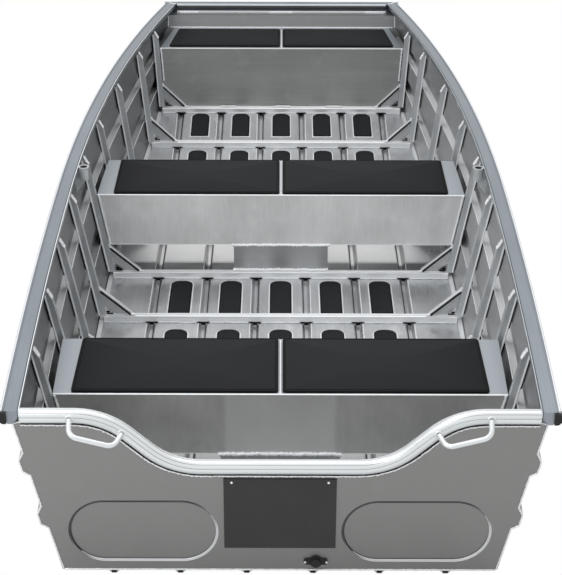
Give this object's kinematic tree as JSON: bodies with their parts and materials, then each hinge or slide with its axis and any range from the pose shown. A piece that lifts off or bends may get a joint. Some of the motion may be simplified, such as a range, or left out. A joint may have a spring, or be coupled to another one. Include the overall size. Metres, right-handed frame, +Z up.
{
  "type": "rowing boat",
  "caption": "Flat-bottomed aluminium rowing boat with a square bow, ribbed frames, padded box benches, rowlock sockets and a transom cut down for a motor.",
  "frame": {"origin": "centre of the bounding box at floor level, under the middle of the hull", "axes": "+Y to the bow, +X to starboard, +Z up"},
  "size_m": [1.5084, 3.9127, 0.5256],
  "materials": {
    "hull_sheet": "brushed mill finish",
    "gunwale_extrusion": "satin, fine grooves along the top",
    "satin_tube": "satin",
    "frame_metal": "mill finish with bright welds",
    "bench_sheet": "brushed",
    "foam": "matt closed-cell foam",
    "black_plastic": "matt"
  },
  "bodies": {
    "root": {"bench_bow": "bench_sheet", "bench_mid": "bench_sheet", "bench_stern": "bench_sheet", "bottom_plate": "hull_sheet", "bow_plate": "hull_sheet", "chine_bar_port": "frame_metal", "chine_bar_starboard": "frame_metal", "drain_flange": "black_plastic", "end_cap_port": "black_plastic", "end_cap_starboard": "black_plastic", "floor_beam_1": "frame_metal", "floor_beam_2": "frame_metal", "floor_beam_3": "frame_metal", "floor_beam_4": "frame_metal", "floor_beam_5": "frame_metal", "floor_beam_6": "frame_metal", "floor_beam_7": "frame_metal", "floor_beam_8": "frame_metal", "floor_beam_9": "frame_metal", "floor_pads": "foam", "gunwale_bow": "gunwale_extrusion", "gunwale_port": "gunwale_extrusion", "gunwale_starboard": "gunwale_extrusion", "gussets_port": "frame_metal", "gussets_starboard": "frame_metal", "handle_port": "satin_tube", "handle_starboard": "satin_tube", "motor_pad": "black_plastic", "pad_bow_port": "foam", "pad_bow_starboard": "foam", "pad_mid_port": "foam", "pad_mid_starboard": "foam", "pad_stern_port": "foam", "pad_stern_starboard": "foam", "rowlock_socket_port": "satin_tube", "rowlock_socket_starboard": "satin_tube", "side_plate_port": "hull_sheet", "side_plate_starboard": "hull_sheet", "side_ribs_1": "frame_metal", "side_ribs_2": "frame_metal", "side_ribs_3": "frame_metal", "side_ribs_4": "frame_metal", "side_ribs_5": "frame_metal", "side_ribs_6": "frame_metal", "side_ribs_7": "frame_metal", "side_ribs_8": "frame_metal", "side_ribs_9": "frame_metal", "support_mid": "frame_metal", "support_stern": "frame_metal", "transom_cap": "satin_tube", "transom_plate": "hull_sheet"}
  },
  "joints": []
}
